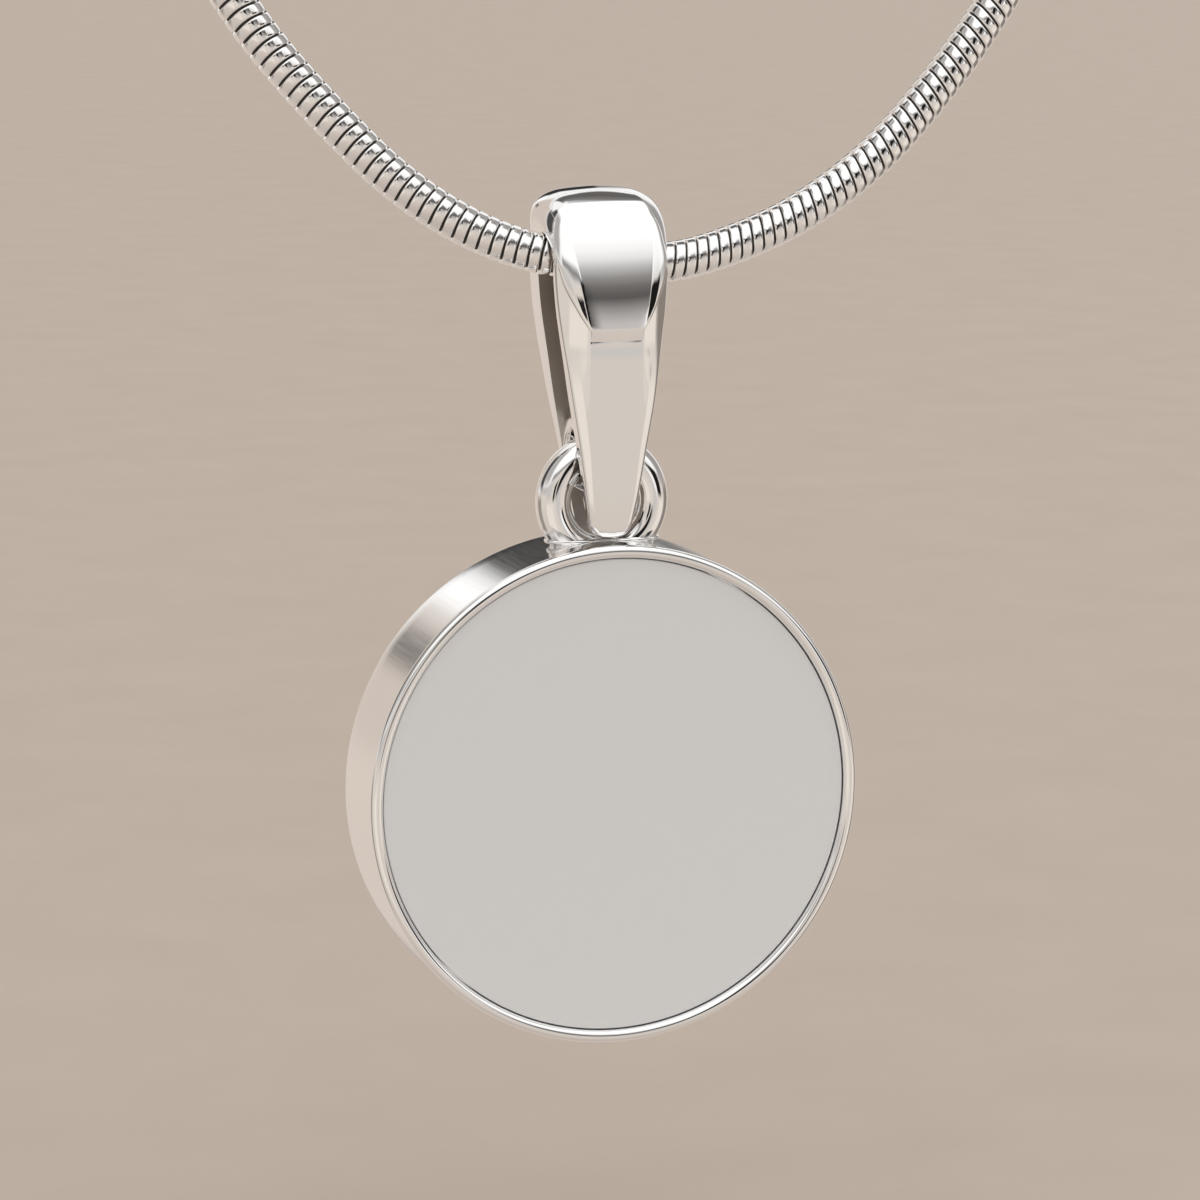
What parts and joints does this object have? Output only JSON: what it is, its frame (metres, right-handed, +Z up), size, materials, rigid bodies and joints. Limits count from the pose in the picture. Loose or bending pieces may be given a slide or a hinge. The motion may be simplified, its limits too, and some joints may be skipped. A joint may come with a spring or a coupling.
{
  "type": "memorial pendant",
  "caption": "Round disc pendant with a bare satin face and a polished rim, on a tapered bail and a round snake chain closed by a clasp.",
  "frame": {"origin": "the nape, in the middle of the clasp", "axes": "+Z up, the disc's face looks along -Y, the chain runs along X through the clasp and the bail"},
  "size_m": [0.1292, 0.1239, 0.1227],
  "materials": {
    "polished": "polished steel, finely brushed on the disc's wall and the bail's front",
    "satin": "satin"
  },
  "bodies": {
    "chain": {"chain": "polished", "clasp": "polished"},
    "bail": {"bail": "polished"},
    "disc": {"case": "polished", "face_plate": "satin"}
  },
  "joints": [
    {"name": "bail_swing", "type": "hinge", "parent": "chain", "child": "bail", "pos_m": [0, -0.12, -0.09], "axis": [1, 0, 0], "range_deg": [-90, 90]},
    {"name": "disc_swing", "type": "hinge", "parent": "bail", "child": "disc", "pos_m": [0, -0.12, -0.0995], "axis": [0, 1, 0], "range_deg": [-80, 80]}
  ]
}
